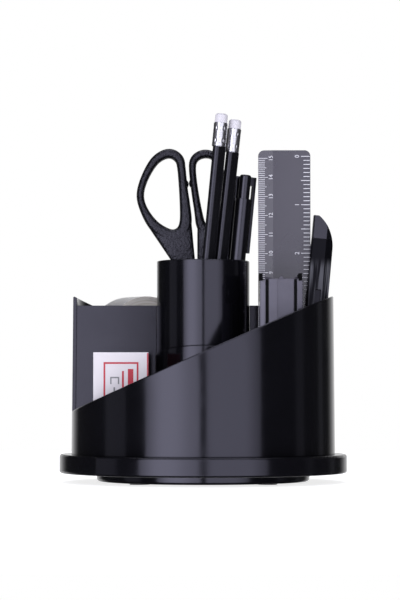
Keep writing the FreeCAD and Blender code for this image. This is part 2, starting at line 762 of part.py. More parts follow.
def ruler():
    left, right = "ruler_left", "ruler_left + ruler_width"
    back, front = RULER_BACK, f"{RULER_BACK} - ruler_thickness"
    bevel = "ruler_left + ruler_bevel"
    section = [(left, back), (right, back), (right, front), (bevel, front), (left, f"{back} - ruler_edge")]
    blade = prism("ruler_blade", "XY_Plane", section[::-1], "ruler_length", symmetric=False)
    ends = (0.0, value("ruler_length"))
    sides = (value(left), value(right))

    def is_corner(edge):
        box = edge.BoundBox
        return (runs_along(edge, AWAY) and any(abs(box.XMin - x) < NEAR for x in sides)
                and any(level_at(edge, z) for z in ends))
    piece("ruler", seat(soften(blade, "ruler_corner", is_corner), "0", "0", FLOOR_REST))


def stapler():
    place = stand("stapler_x", STAPLER_BACK, FLOOR_REST)
    thick = "stapler_base_thickness"
    ear_low = "(stapler_length - stapler_ear_height)"
    top = "(stapler_length - stapler_lug_rise)"
    plate = bar("stapler_plate", "stapler_base_width", thick, top, y=f"-{thick}")
    cross = bar("stapler_cross", "stapler_width", thick, f"{top} - {ear_low}", y=f"-{thick}", z=ear_low)
    ears = [block(f"stapler_ear_{word}", "stapler_ear", "stapler_ear_depth", "stapler_ear_height", x,
                  "-stapler_ear_depth", ear_low)
            for word, x in (("left", "-stapler_width / 2"), ("right", "stapler_width / 2 - stapler_ear"))]

    def pin_rod(name, gap):
        return rod(name, f"stapler_pin_radius + {gap}", "stapler_width", "-stapler_width / 2",
                   "-stapler_pin_depth", "stapler_length - stapler_pin_drop", "x")
    frame = join("stapler_frame", plate, cross, *ears)
    piece("stapler_base", cut("stapler_frame_cut", frame, pin_rod("ear_bore", "fit_gap")), place)
    piece("stapler_pin", pin_rod("stapler_pin_rod", "0"), place)
    anvil = bar("anvil_plate", "anvil_width", "anvil_thickness", "anvil_length",
                y=f"-{thick} - anvil_thickness", z="tool_gap")
    piece("stapler_anvil", anvil, place)

    back = f"(-{thick} - stapler_throat)"
    front = f"({back} - magazine_depth)"
    inner_width = "(magazine_width - 2 * magazine_wall)"
    channel = bar("magazine_blank", "magazine_width", "magazine_depth", f"{top} - tool_gap",
                  y=front, z="tool_gap")
    trough = bar("magazine_trough", inner_width, "magazine_depth - magazine_wall", "stapler_length", y=front)
    piece("stapler_magazine", cut("magazine", channel, trough, pin_rod("magazine_bore", "fit_gap")), place)
    bed = f"({back} - magazine_wall - fit_gap - strip_depth)"
    strip_width = f"({inner_width} - 2 * fit_gap)"
    strip = bar("strip_rod", strip_width, "strip_depth", "strip_length", y=bed, z="magazine_wall")
    piece("stapler_strip", strip, place)
    pusher = bar("pusher_block", strip_width, "strip_depth", "pusher_length", y=bed,
                 z="magazine_wall + strip_length + fit_gap")
    piece("stapler_pusher", pusher, place)

    cap_back = f"({back} - stapler_cap_inset)"
    cap_front = f"({cap_back} - stapler_cap_depth)"
    nose = "(2 * tool_gap)"
    half = "stapler_width / 2"
    panel = f"{cap_front} + stapler_panel_fall"
    shoulder = f"{cap_front} + stapler_side_fall"
    section = [(f"-{half}", cap_back), (half, cap_back), (half, shoulder), ("groove_place", panel),
               ("-stapler_cap_crease", cap_front), ("-groove_place", panel), (f"-{half}", shoulder)]
    shell = seat(prism("cap_blank", "XY_Plane", section, f"{top} - {nose}", symmetric=False), "0", "0", nose)
    tab = rod("cap_tab", "stapler_tab_radius", "stapler_tab_depth", "0", panel, top, "y")
    shell = join("cap_with_tab", shell, tab)
    room = bar("cap_room", "stapler_width - 2 * stapler_cap_wall", "stapler_cap_depth - stapler_cap_face",
               "stapler_length", y=f"{cap_front} + stapler_cap_face")
    cuts = [room, pin_rod("cap_bore", "fit_gap")]
    ear_room = "(stapler_ear + lug_gap)"
    ear_front = "(-stapler_ear_depth - lug_gap)"
    lug_low = "(stapler_length - lug_height)"
    for side in ("-1", "1"):
        x = f"{side} * (stapler_width / 2 - {ear_room} / 2)"
        cuts.append(bar(f"cap_ear_slot_{len(cuts)}", ear_room, f"{cap_back} - {ear_front}",
                        "stapler_ear_height + lug_gap", x, ear_front, f"{ear_low} - lug_gap"))
        cuts.append(bar(f"cap_lug_slot_{len(cuts)}", ear_room, "stapler_cap_depth", "lug_height",
                        x, cap_front, lug_low))
        cuts.append(bar(f"cap_groove_{len(cuts)}", "groove_width", "stapler_panel_fall + groove_depth",
                        "stapler_length", f"{side} * groove_place", cap_front))
    piece("stapler_cap", cut("cap_solid", shell, *cuts), place)


def knife():
    foot = f"{FLOOR_REST} + knife_width / 2 * sin(knife_lean * 1 deg)"
    place = stand("knife_foot_x", f"{KNIFE_BACK} - knife_depth / 2", foot, "knife_lean")
    front = "(-knife_depth / 2)"
    seam = "(knife_length - knife_tail_length)"
    half, bevel = "knife_width / 2", "knife_edge_bevel"
    back = "knife_depth / 2"
    section = [(f"-{half}", back), (half, back), (half, f"{front} + knife_facet_fall"),
               ("knife_facet_place", front), (f"-{half} + {bevel}", front),
               (f"-{half}", f"{front} + {bevel}")]
    blank = prism("knife_blank", "XY_Plane", section, "knife_length", symmetric=False)
    crown = block("knife_crown", "knife_width", "knife_depth", "knife_length - knife_curve_start",
                  "-knife_width / 2", front, "knife_curve_start")
    sweep = rod("knife_sweep", "knife_curve_radius", "knife_depth", "knife_width / 2 - knife_curve_radius",
                front, "knife_curve_start", "y")
    shape = cut("knife_curved", blank, cut("knife_waste", crown, sweep))
    lower = bar("knife_lower", "knife_width", "knife_depth", seam, y=front)
    upper = bar("knife_upper", "knife_width", "knife_depth", "knife_tail_length - fit_gap",
                y=front, z=f"{seam} + fit_gap")
    channel = bar("knife_channel", "knife_channel_width", "knife_channel_depth", seam,
                  y="-knife_channel_depth / 2")
    slot = bar("knife_slot", "knife_slot_width", "knife_depth / 2", "knife_slot_length",
               y=front, z="knife_slot_start")
    piece("knife_body", cut("knife_sleeve", overlap("knife_body_blank", shape, lower), channel, slot), place)
    piece("knife_tail", overlap("knife_tail_solid", shape, upper), place)
    edge = "snap_blade_width / 2"
    top = "snap_blade_inset + snap_blade_length"
    corners = [(f"-{edge}", f"snap_blade_inset + {edge}"), (edge, "snap_blade_inset"),
               (edge, top), (f"-{edge}", top)]
    piece("knife_blade", prism("snap_blade", "XZ_Plane", corners, "snap_blade_thickness"), place)
    plate_back = "(-snap_blade_thickness / 2 - slider_thickness - slider_gap / 3)"
    plate_low = f"({top} - slider_length)"
    carrier = bar("slider_plate", "snap_blade_width", "slider_thickness", "slider_length",
                  y=plate_back, z=plate_low)
    knob_face = f"({front} - slider_gap - knob_proud)"
    stem_width = "(knife_slot_width - 2 * slider_gap)"
    stem = bar("slider_stem", stem_width, f"{plate_back} - {knob_face}", "knob_length",
               y=knob_face, z=plate_low)
    knob = bar("slider_knob", "knob_width", "knob_proud", "knob_length", y=knob_face, z=plate_low)
    piece("knife_slider", join("slider", carrier, stem, knob), place)


def tape():
    place = stand("tape_x", "tape_y", f"{SHELF_TOP} + tool_gap + tape_radius", turn="tape_turn")
    core_radius = "(tape_bore + tape_core_wall)"

    def ring(name, outer, inner):
        disc = rod(name + "_disc", outer, "tape_width", y="-tape_width / 2", axis="y")
        return cut(name, disc, rod(name + "_bore", inner, "tape_width", y="-tape_width / 2", axis="y"))
    piece("tape_core", ring("core_ring", core_radius, "tape_bore"), place)
    piece("tape_roll", ring("tape_ring", "tape_radius", f"{core_radius} + fit_gap"), place)


def staple_box():
    place = stand("sleeve_x", "sleeve_y", FLOOR_REST)
    inner_width = "(sleeve_width - 2 * card)"
    inner_depth = "(sleeve_depth - 2 * card)"
    outside = bar("sleeve_outside", "sleeve_width", "sleeve_depth", "sleeve_height", y="-sleeve_depth / 2")
    inside = bar("sleeve_inside", inner_width, inner_depth, "sleeve_height", y=f"-{inner_depth} / 2")
    piece("staple_sleeve", cut("sleeve", outside, inside), place)
    width = f"({inner_width} - 2 * tray_gap)"
    depth = f"({inner_depth} - 2 * tray_gap)"
    shell = bar("tray_shell", width, depth, "sleeve_height", y=f"-{depth} / 2")
    room = bar("tray_room", f"{width} - 2 * card", f"{depth} - card", "sleeve_height - 2 * card",
               y=f"-{depth} / 2", z="card")
    piece("staple_tray", cut("tray", shell, room), place)
    stack_length = "sleeve_height - 2 * card - 2 * tray_gap"
    stack_front = f"{depth} / 2 - card - strip_stack_depth"
    stacks = [bar(f"staple_stack_{k}", "strip_stack_width", "strip_stack_depth", stack_length,
                  f"{side} * (strip_stack_width + tray_gap) / 2", stack_front, "card + tray_gap")
              for k, side in enumerate(("-1", "1"))]
    piece("staple_strips", group("staple_stacks", *stacks), place)


def build():
    turntable()
    base_plate()
    wall("front_wall", "0")
    wall("rear_wall", "180")
    partition("right_partition", "0")
    partition("left_partition", "180")
    pen_cup()
    tape_shelf()
    scissors()
    pencil("pencil_1")
    pencil("pencil_2")
    pen("pen_1")
    pen("pen_2")
    ruler()
    stapler()
    knife()
    tape()
    staple_box()
    doc.recompute()


def check():
    """Stops the run if any feature failed or any sub-part is not sound."""
    failed = [thing.Name for thing in doc.Objects if {"Invalid", "Error"} & set(thing.State)]
    unsound = [name for name, thing in pieces.items() if thing.Shape.isNull() or not thing.Shape.isValid()
               or not thing.Shape.Solids]
    if failed or unsound:
        raise RuntimeError(f"failed features {failed}, unsound sub-parts {unsound}")


def write():
    os.makedirs("parts", exist_ok=True)
    for name, thing in pieces.items():
        thing.Shape.exportStep(os.path.join("parts", name + ".step"))


build()
check()
write()
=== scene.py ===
from math import cos, pi, radians, sin

import bmesh
import bpy
import numpy as np
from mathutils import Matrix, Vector


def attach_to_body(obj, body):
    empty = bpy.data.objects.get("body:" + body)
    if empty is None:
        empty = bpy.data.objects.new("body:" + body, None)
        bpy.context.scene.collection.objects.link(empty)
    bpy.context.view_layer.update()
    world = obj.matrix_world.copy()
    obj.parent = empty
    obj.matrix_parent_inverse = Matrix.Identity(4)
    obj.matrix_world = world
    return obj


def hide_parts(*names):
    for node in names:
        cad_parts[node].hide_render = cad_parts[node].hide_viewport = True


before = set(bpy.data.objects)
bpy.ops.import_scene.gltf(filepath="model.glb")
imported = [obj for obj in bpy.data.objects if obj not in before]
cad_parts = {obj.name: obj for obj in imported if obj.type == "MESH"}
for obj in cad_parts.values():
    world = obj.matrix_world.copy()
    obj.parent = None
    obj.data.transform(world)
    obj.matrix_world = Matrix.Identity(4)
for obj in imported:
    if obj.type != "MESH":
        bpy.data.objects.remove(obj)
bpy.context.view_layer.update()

# Lengths are in millimetres, the studio's in metres, and angles in degrees.
# +X is right, +Y is away from the front and +Z is up.
MM = 0.001

# Places and sizes of the solids, as in the part's source: a tool's foot, its lean towards +X and its own sizes
SCISSORS_FOOT, SCISSORS_LEAN, SCISSORS_HALF_DEPTH = (3.75, 5.2, 18.8), -4.8, 4.0
# Each pencil's foot, lean and length
PENCILS = {"pencil_1": ((-6.95, -9.2, 18.8), 5.49, 174.0), "pencil_2": ((-1.85, -3.6, 18.8), 6.26, 171.7)}
FERRULE_RADIUS, FERRULE_BORE, FERRULE_LENGTH = 3.65, 3.36, 12.5
ERASER_RADIUS, ERASER_PROUD, ERASER_DEPTH = 3.26, 4.8, 3.0
TAPE_CENTRE, TAPE_TURN = (-34.5, 27.0, 69.0), 36.0
TAPE_RADIUS, TAPE_BORE, TAPE_WIDTH = 29.0, 14.55, 17.5
RULER_LEFT, RULER_RIGHT, RULER_BEVEL = 28.8, 56.1, 7.8
RULER_BACK, RULER_EDGE, RULER_THICK = -1.7, 0.9, 2.0
GROOVES, GROOVE_HALF, GROOVE_BOTTOM = (32.35, 46.75), 0.7, -39.5
GROOVE_LOW, GROOVE_HIGH = 15.8, 104.2
KNIFE_LEAN = 5.2
BOX_LOW, BOX_HIGH = (-56.0, -33.0, 15.0), (-28.0, -15.0, 67.2)


# Finishes

# Sockets of a Mix node that blends colours: share, first and second colour, and its result
SHARE, FIRST, SECOND, BLEND = 0, 6, 7, 2


def linear(code):
    """An sRGB hex colour as linear red, green, blue and alpha."""
    parts = np.array([int(code[i:i + 2], 16) for i in (1, 3, 5)]) / 255
    parts = np.where(parts <= 0.04045, parts / 12.92, ((parts + 0.055) / 1.055) ** 2.4)
    return (*parts.tolist(), 1.0)


def add(tree, kind, inputs=None, **settings):
    """Adds one node with its settings; an input is a plain value or another node's output to link from."""
    made = tree.nodes.new(kind)
    for name, choice in settings.items():
        setattr(made, name, choice)
    for name, given in (inputs or {}).items():
        if isinstance(given, bpy.types.NodeSocket):
            tree.links.new(given, made.inputs[name])
        else:
            made.inputs[name].default_value = given
    return made


def finish(name, sockets):
    """A material with one Principled shader; returns it with its tree, shader and object coordinates."""
    material = bpy.data.materials.new(name)
    material.use_nodes = True
    tree = material.node_tree
    tree.nodes.clear()
    shader = add(tree, "ShaderNodeBsdfPrincipled", sockets)
    add(tree, "ShaderNodeOutputMaterial", {"Surface": shader.outputs[0]})
    place = add(tree, "ShaderNodeTexCoord").outputs["Object"]
    return material, tree, shader, place


def per_mm(size):
    """The scale of a pattern whose features are that many millimetres apart."""
    return 1 / (size * MM)


def moulded(name, colours, rough, spread, grain, depth, ior=1.53, shine=0.5, drift_size=22, glint="#ffffff",
            edge=0.35):
    """Moulded plastic or rubber: a colour and gloss that drift, the mould's grain, and edges rounded by edge mm."""
    noise_low, noise_high = 0.3, 0.7
    dark, pale = (linear(code) for code in colours)
    material, tree, shader, place = finish(name, {"IOR": ior, "Specular IOR Level": shine,
                                                  "Specular Tint": linear(glint)})
    drift = add(tree, "ShaderNodeTexNoise", {"Vector": place, "Scale": per_mm(drift_size), "Detail": 3.0})
    gloss = add(tree, "ShaderNodeMapRange", {"Value": drift.outputs[0], "From Min": noise_low, "From Max": noise_high,
                                             "To Min": rough - spread, "To Max": rough + spread})
    tree.links.new(gloss.outputs[0], shader.inputs["Roughness"])
    tint = add(tree, "ShaderNodeMix", {SHARE: drift.outputs[0], FIRST: dark, SECOND: pale}, data_type="RGBA")
    tree.links.new(tint.outputs[BLEND], shader.inputs["Base Color"])
    pits = add(tree, "ShaderNodeTexNoise", {"Vector": place, "Scale": per_mm(grain), "Detail": 2.0})
    edges = add(tree, "ShaderNodeBevel", {"Radius": edge * MM}, samples=4)
    bump = add(tree, "ShaderNodeBump", {"Height": pits.outputs[0], "Strength": 1.0, "Distance": depth * MM,
                                        "Normal": edges.outputs[0]})
    tree.links.new(bump.outputs[0], shader.inputs["Normal"])
    return material


def rubbed(material, pale, lean, width, length, top):
    """Highlight streaks painted on a leaning moulding: noise pulled out lengthwise mixes a paler colour in below top.
    """
    fade = 6.0
    streak_start, streak_full = 0.4, 0.62
    tree = material.node_tree
    place = tree.nodes["Texture Coordinate"].outputs["Object"]
    colour = tree.nodes["Principled BSDF"].inputs["Base Color"]
    pulled = add(tree, "ShaderNodeMapping", {"Vector": place, "Rotation": (0.0, radians(lean), 0.0),
                                             "Scale": (1.0, 1.0, length / width)}, vector_type="TEXTURE")
    streaks = add(tree, "ShaderNodeTexNoise", {"Vector": pulled.outputs[0], "Scale": per_mm(width), "Detail": 1.0})
    height = add(tree, "ShaderNodeSeparateXYZ", {0: place}).outputs[2]
    below = add(tree, "ShaderNodeMapRange", {"Value": height, "From Min": (top - fade) * MM, "From Max": top * MM,
                                             "To Min": 1.0, "To Max": 0.0}, interpolation_type="SMOOTHSTEP")
    share = add(tree, "ShaderNodeMapRange", {"Value": streaks.outputs[0], "From Min": streak_start,
                                             "From Max": streak_full, "To Min": 0.0, "To Max": below.outputs[0]},
                interpolation_type="SMOOTHSTEP")
    # The pale streaks mixed in here are painted highlights, only below top
    mixed = add(tree, "ShaderNodeMix", {SHARE: share.outputs[0], FIRST: colour.links[0].from_socket,
                                        SECOND: linear(pale)}, data_type="RGBA")
    tree.links.new(mixed.outputs[BLEND], colour)
    return material


def ground_metal(name, colours, rough, line, depth, stretch):
    """Sheet metal with fine lines: noise pulled out along one direction, in tone, gloss and height."""
    spread = 0.3
    dark, pale = (linear(code) for code in colours)
    material, tree, shader, place = finish(name, {"Metallic": 1.0})
    pulled = add(tree, "ShaderNodeMapping", {"Vector": place, "Scale": stretch})
    lines = add(tree, "ShaderNodeTexNoise", {"Vector": pulled.outputs[0], "Scale": per_mm(line), "Detail": 3.0})
    tone = add(tree, "ShaderNodeMix", {SHARE: lines.outputs[0], FIRST: dark, SECOND: pale}, data_type="RGBA")
    tree.links.new(tone.outputs[BLEND], shader.inputs["Base Color"])
    gloss = add(tree, "ShaderNodeMapRange", {"Value": lines.outputs[0], "To Min": rough * (1 - spread),
                                             "To Max": rough * (1 + spread)})
    tree.links.new(gloss.outputs[0], shader.inputs["Roughness"])
    bump = add(tree, "ShaderNodeBump", {"Height": lines.outputs[0], "Strength": 1.0, "Distance": depth * MM})
    tree.links.new(bump.outputs[0], shader.inputs["Normal"])
    return material


def paper(name, colours, rough):
    """Card or ink on it: pressed fibres, uneven in tone and in height."""
    # Real fibres are too fine to show, so they are drawn coarser
    fibre, fibre_height = 0.5, 0.008
    dark, pale = (linear(code) for code in colours)
    material, tree, shader, place = finish(name, {"Roughness": rough, "IOR": 1.45})
    fibres = add(tree, "ShaderNodeTexNoise", {"Vector": place, "Scale": per_mm(fibre), "Detail": 5.0})
    tone = add(tree, "ShaderNodeMix", {SHARE: fibres.outputs[0], FIRST: dark, SECOND: pale}, data_type="RGBA")
    tree.links.new(tone.outputs[BLEND], shader.inputs["Base Color"])
    bump = add(tree, "ShaderNodeBump", {"Height": fibres.outputs[0], "Strength": 1.0, "Distance": fibre_height * MM})
    tree.links.new(bump.outputs[0], shader.inputs["Normal"])
    return material


def smoke_acrylic():
    """Extruded acrylic tinted grey: a tint that drifts, and faint handling scratches along it in the gloss."""
    # Real scratches are too fine to show, so they are drawn wider
    drift_size, hair_width, hair_squeeze = 25, 0.6, 0.06
    smooth, scratched = 0.05, 0.14
    dark, pale = linear("#45424e"), linear("#494652")
    material, tree, shader, place = finish("acrylic_extruded_smoke", {"IOR": 1.49, "Transmission Weight": 0.35})
    drift = add(tree, "ShaderNodeTexNoise", {"Vector": place, "Scale": per_mm(drift_size), "Detail": 2.0})
    tint = add(tree, "ShaderNodeMix", {SHARE: drift.outputs[0], FIRST: dark, SECOND: pale}, data_type="RGBA")
    tree.links.new(tint.outputs[BLEND], shader.inputs["Base Color"])
    pulled = add(tree, "ShaderNodeMapping", {"Vector": place, "Scale": (1.0, 1.0, hair_squeeze)})
    hairs = add(tree, "ShaderNodeTexNoise", {"Vector": pulled.outputs[0], "Scale": per_mm(hair_width), "Detail": 2.0})
    gloss = add(tree, "ShaderNodeMapRange", {"Value": hairs.outputs[0], "To Min": smooth, "To Max": scratched})
    tree.links.new(gloss.outputs[0], shader.inputs["Roughness"])
    return material


def wound_film():
    """Film wound on itself: rings of noise against the distance from the roll's axis, in tone, gloss and height."""
    # The turns of the film are too fine to show, so the rings are drawn many turns apart
    ring, ring_height, ring_strength = 1.5, 0.02, 0.6
    smooth, dull = 0.16, 0.34
    dark, pale = linear("#a89c92"), linear("#ffffff")
    material, tree, shader, place = finish("polypropylene_film_wound", {"IOR": 1.49, "Transmission Weight": 0.55})
    centred = add(tree, "ShaderNodeMapping", {"Vector": place, "Location": tuple(c * MM for c in TAPE_CENTRE),
                                              "Rotation": (0.0, 0.0, radians(TAPE_TURN))}, vector_type="TEXTURE")
    across = add(tree, "ShaderNodeSeparateXYZ", {0: centred.outputs[0]})
    flat = add(tree, "ShaderNodeCombineXYZ", {0: across.outputs[0], 1: across.outputs[2]})
    radius = add(tree, "ShaderNodeVectorMath", {0: flat.outputs[0]}, operation="LENGTH")
    turns = add(tree, "ShaderNodeTexNoise", {"W": radius.outputs["Value"], "Scale": per_mm(ring), "Detail": 4.0},
                noise_dimensions="1D")
    tone = add(tree, "ShaderNodeMix", {SHARE: turns.outputs[0], FIRST: dark, SECOND: pale}, data_type="RGBA")
    tree.links.new(tone.outputs[BLEND], shader.inputs["Base Color"])
    gloss = add(tree, "ShaderNodeMapRange", {"Value": turns.outputs[0], "To Min": smooth, "To Max": dull})
    tree.links.new(gloss.outputs[0], shader.inputs["Roughness"])
    bump = add(tree, "ShaderNodeBump", {"Height": turns.outputs[0], "Strength": ring_strength,
                                        "Distance": ring_height * MM})
    tree.links.new(bump.outputs[0], shader.inputs["Normal"])
    return material


# Black pigment that leaves a slight blue in the reflections
COOL = "#eae7fd"
# Polished ABS mouldings of the caddy: near black, mirror-like with a faint orange peel
gloss_abs = moulded("abs_moulded_gloss", ("#060608", "#09090d"), rough=0.14, spread=0.03, grain=1.6, depth=0.001,
                    glint=COOL, edge=0.65)
# Spark-textured polypropylene grips: an even grain that breaks the shine, drawn coarser than real to show
grip_polypropylene = moulded("polypropylene_spark_textured", ("#060608", "#0e0e11"), rough=0.3, spread=0.06,
                             grain=1.1, depth=0.5, ior=1.49, shine=0.4, glint=COOL)
# Polished polystyrene of the pens and the knife's tail: a little softer in its shine than the caddy
pen_polystyrene = moulded("polystyrene_moulded_gloss", ("#070709", "#0b0b0e"), rough=0.16, spread=0.04, grain=1.2,
                          depth=0.0015, ior=1.57, glint=COOL)
# The same plastic on the pens' clips, dulled by handling
handled_polystyrene = moulded("polystyrene_moulded_handled", ("#060608", "#0c0c10"), rough=0.2, spread=0.06, grain=1.2,
                              depth=0.0015, ior=1.57, shine=0.2, drift_size=8, glint=COOL)
# The same again on the knife's body, with long pale streaks painted lower down as painted highlights
streak_highlit_polystyrene = rubbed(
    moulded("polystyrene_moulded_painted_highlights", ("#060608", "#0c0c10"), rough=0.16, spread=0.05, grain=1.2, depth=0.0015,
            ior=1.57, shine=0.07, glint=COOL), pale="#56565c", lean=KNIFE_LEAN, width=1.7, length=30.0, top=117.0)
# Charcoal ABS of the stapler: its two broad faces mirror the lights as grey, with a dark line along the ridge
charcoal_abs = moulded("abs_moulded_charcoal", ("#413f46", "#4e4c55"), rough=0.15, spread=0.03, grain=0.6,
                       depth=0.002, drift_size=7, glint=COOL, edge=1.0)
# Unpolished near-black ABS of the stapler's base; the same laid in the cap's grooves is painted shade
dull_abs_and_groove_shade = moulded("abs_moulded_unpolished", ("#040405", "#070709"), rough=0.7, spread=0.05, grain=0.8, depth=0.01,
                     shine=0.08)
# Moulded rubber pads: dull and slightly pitted
pad_rubber = moulded("rubber_moulded_matte", ("#1c1c1c", "#262626"), rough=0.7, spread=0.06, grain=0.5, depth=0.02,
                     ior=1.52)
# Natural nylon slip parts: milky off-white
slip_nylon = moulded("nylon_moulded_natural", ("#d9d6cc", "#e6e3da"), rough=0.42, spread=0.05, grain=0.8, depth=0.004)
# White vinyl eraser: chalky, with a soft crumb
eraser_vinyl = moulded("vinyl_eraser_cast", ("#c9c6cd", "#d6d3da"), rough=0.6, spread=0.06, grain=0.9, depth=0.006,
                       ior=1.5, shine=0.3)
# Black lacquer over wood: glossy, with the wood's grain telling through
pencil_lacquer = moulded("basswood_lacquered", ("#09090b", "#0e0e11"), rough=0.2, spread=0.05, grain=1.4, depth=0.004,
                         ior=1.5, shine=0.55, glint=COOL)
# Ground graphite: dark grey with a dull shine
ground_graphite = moulded("graphite_ground", ("#2b2b2e", "#3a3a3e"), rough=0.4, spread=0.08, grain=0.3, depth=0.006,
                          ior=1.6)
# Stainless blades: a grey sheen with lines ground across their length, drawn coarser than real to show
ground_steel = ground_metal("stainless_steel_ground", ("#88898d", "#949599"), rough=0.3, line=0.4, depth=0.003,
                            stretch=(1.0, 1.0, 6.0))
# Tinplate ferrules, crimped: bright with a soft rolled sheen
crimped_tin = ground_metal("tinplate_rolled_crimped", ("#bfbec3", "#cdccd1"), rough=0.3, line=0.9, depth=0.002,
                           stretch=(1.0, 1.0, 0.2))
# Smoke acrylic of the ruler: grey to look through, with glassy faces
smoke_clear = smoke_acrylic()
# Clear polypropylene film on the roll: the turns add up to a warm grey with faint rings
tape_film = wound_film()
# Wound paperboard core: buff and fibrous
core_card = paper("paperboard_core_wound", ("#a98d58", "#cdb27c"), rough=0.8)
# Coated white card of the staple box: even, with a weak sheen
box_card = paper("white_card_coated", ("#cdc8cd", "#d6d1d6"), rough=0.45)
# Printing inks: thin colour that the fibres show through
red_print = paper("red_ink_printed", ("#a41a2e", "#b82439"), rough=0.42)
grey_print = paper("grey_ink_printed", ("#6d6d70", "#808084"), rough=0.45)
white_print = paper("white_ink_printed", ("#c4c3ca", "#d6d5dc"), rough=0.5)

SLOT_FINISHES = {
    "black_gloss": gloss_abs, "black_satin": handled_polystyrene, "dark_rubber": pad_rubber, "nylon": slip_nylon,
    "steel": ground_steel, "black_lacquer": pencil_lacquer, "graphite": ground_graphite, "tin": crimped_tin,
    "white_rubber": eraser_vinyl, "smoke_clear": smoke_clear, "clear_tape": tape_film, "core_card": core_card,
    "white_card": box_card,
}
# Nodes whose finish differs from that of their slot
NODE_FINISHES = {"stapler_cap": charcoal_abs, "stapler_base": dull_abs_and_groove_shade, "knife_body": streak_highlit_polystyrene,
                 "knife_tail": pen_polystyrene, "pen_1_clip": handled_polystyrene, "pen_2_clip": handled_polystyrene}
NODE_FINISHES |= {name: pen_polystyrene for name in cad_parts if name.startswith(("pen_1", "pen_2"))
                  and name.endswith(("barrel", "plug", "cap"))}
for name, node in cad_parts.items():
    slot_name = node.material_slots[0].material.name
    node.material_slots[0].material = NODE_FINISHES.get(name, SLOT_FINISHES[slot_name])


# Shapes

def grid(points, round_along=False, round_across=True):
    """Points on an (along, across) grid as vertices and quads; a direction may close on itself."""
    along, across = points.shape[:2]
    i = np.arange(along if round_along else along - 1)[:, None]
    j = np.arange(across if round_across else across - 1)[None, :]
    next_i, next_j = (i + 1) % along, (j + 1) % across
    corners = (i * across + j, i * across + next_j, next_i * across + next_j, next_i * across + j)
    quads = np.stack(np.broadcast_arrays(*corners), -1).reshape(-1, 4)
    return points.reshape(-1, 3), quads


def slabs(low, high):
    """Boxes between rows of low and high corners: each corner takes its x, y, z from one row or the other."""
    pick = np.array([[x, y, z] for z in (0, 1) for y in (0, 1) for x in (0, 1)])
    low, high = np.atleast_2d(low)[:, None, :], np.atleast_2d(high)[:, None, :]
    vertices = np.where(pick[None], high, low).reshape(-1, 3)
    faces = np.array([[0, 2, 3, 1], [4, 5, 7, 6], [0, 1, 5, 4], [2, 6, 7, 3], [0, 4, 6, 2], [1, 3, 7, 5]])
    quads = (np.arange(low.shape[0])[:, None, None] * 8 + faces[None]).reshape(-1, 4)
    return vertices, quads


def stand(points, foot, lean=0.0, turn=0.0):
    """Points turned about their own axis, leaned towards +X and set on their foot."""
    x, y, z = np.moveaxis(np.asarray(points, float), -1, 0)
    t, tilt = radians(turn), radians(lean)
    x, y = x * cos(t) - y * sin(t), x * sin(t) + y * cos(t)
    x, z = x * cos(tilt) + z * sin(tilt), z * cos(tilt) - x * sin(tilt)
    return np.stack([x, y, z], -1) + np.array(foot)


def joined(name, parts, look):
    """One mesh from parts of vertices and faces, each part's faces counted on from the part before."""
    starts = np.cumsum([0] + [len(vertices) for vertices, _ in parts[:-1]])
    vertices = np.concatenate([vertices for vertices, _ in parts]) * MM
    faces = np.concatenate([corners + start for (_, corners), start in zip(parts, starts)])
    mesh = bpy.data.meshes.new(name)
    mesh.from_pydata(vertices.tolist(), [], faces.tolist())
    mesh.materials.append(look)
    return mesh


def attach(name, mesh, body, stands_for=()):
    """Puts a mesh into the scene on its body and the nodes that it stands for."""
    thing = bpy.data.objects.new(name, mesh)
    bpy.context.scene.collection.objects.link(thing)
    if stands_for:
        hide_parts(*stands_for)
    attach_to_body(thing, body)


def piece(name, parts, look, body, stands_for=(), crease=40.0):
    """A closed piece from quads: doubles merge, faces turn outwards, edges past the crease stay sharp."""
    mesh = joined(name, parts, look)
    shape = bmesh.new()
    shape.from_mesh(mesh)
    bmesh.ops.remove_doubles(shape, verts=shape.verts, dist=1e-3 * MM)
    bmesh.ops.recalc_face_normals(shape, faces=shape.faces)
    shape.to_mesh(mesh)
    shape.free()
    mesh.shade_smooth()
    mesh.set_sharp_from_angle(angle=radians(crease))
    attach(name, mesh, body, stands_for)


# Scissors

# Edge of each finger hole, anticlockwise, as x, z and the width of the band outside it
FINGER_HOLE = ((-5.2, 136.5, 4.7), (-5.2, 146.6, 4.5), (-6.1, 150.7, 5.0), (-9.6, 152.5, 5.1), (-15.2, 149.9, 4.7),
               (-20.9, 142.2, 4.1), (-23.7, 134.4, 4.0), (-22.4, 127.2, 4.3), (-17.7, 119.8, 5.8),
               (-11.6, 115.4, 6.6), (-8.0, 115.6, 6.8), (-6.2, 119.4, 6.5), (-5.5, 127.5, 5.6))
THUMB_HOLE = ((15.2, 136.5, 4.0), (15.2, 145.6, 4.0), (13.4, 149.8, 4.3), (9.6, 151.0, 4.6), (6.0, 149.6, 4.3),
              (4.7, 145.6, 3.8), (4.9, 135.5, 3.8), (6.0, 124.0, 4.2), (7.3, 117.0, 5.2), (9.6, 115.3, 5.6),
              (12.2, 117.0, 4.6), (13.6, 123.5, 4.2))
# Each neck's upper and lower end, as x, z and radius
FINGER_NECK = ((-11.5, 120.5, 11.5), (-4.9, 95.6, 5.1))
THUMB_NECK = ((9.6, 118.0, 6.6), (5.8, 95.4, 4.7))
# Each stop bump's x, z and its half sizes across, up and deep
FINGER_STOP = (-2.0, 138.3, 2.2, 2.6, 3.0)
THUMB_STOP = (1.9, 138.3, 1.6, 2.4, 3.0)


def closed_curve(knots, steps):
    """A smooth closed line through its knots: between each pair, the Catmull-Rom cubic of their four neighbours."""
    knots = np.array(knots)
    before, start, end, after = (np.roll(knots, shift, axis=0)[:, None, :] for shift in (1, 0, -1, -2))
    t = np.linspace(0, 1, steps, endpoint=False)[None, :, None]
    curve = start + 0.5 * t * (end - before + t * (2 * before - 5 * start + 4 * end - after
                                                   + t * (3 * (start - end) + after - before)))
    return curve.reshape(-1, knots.shape[1])


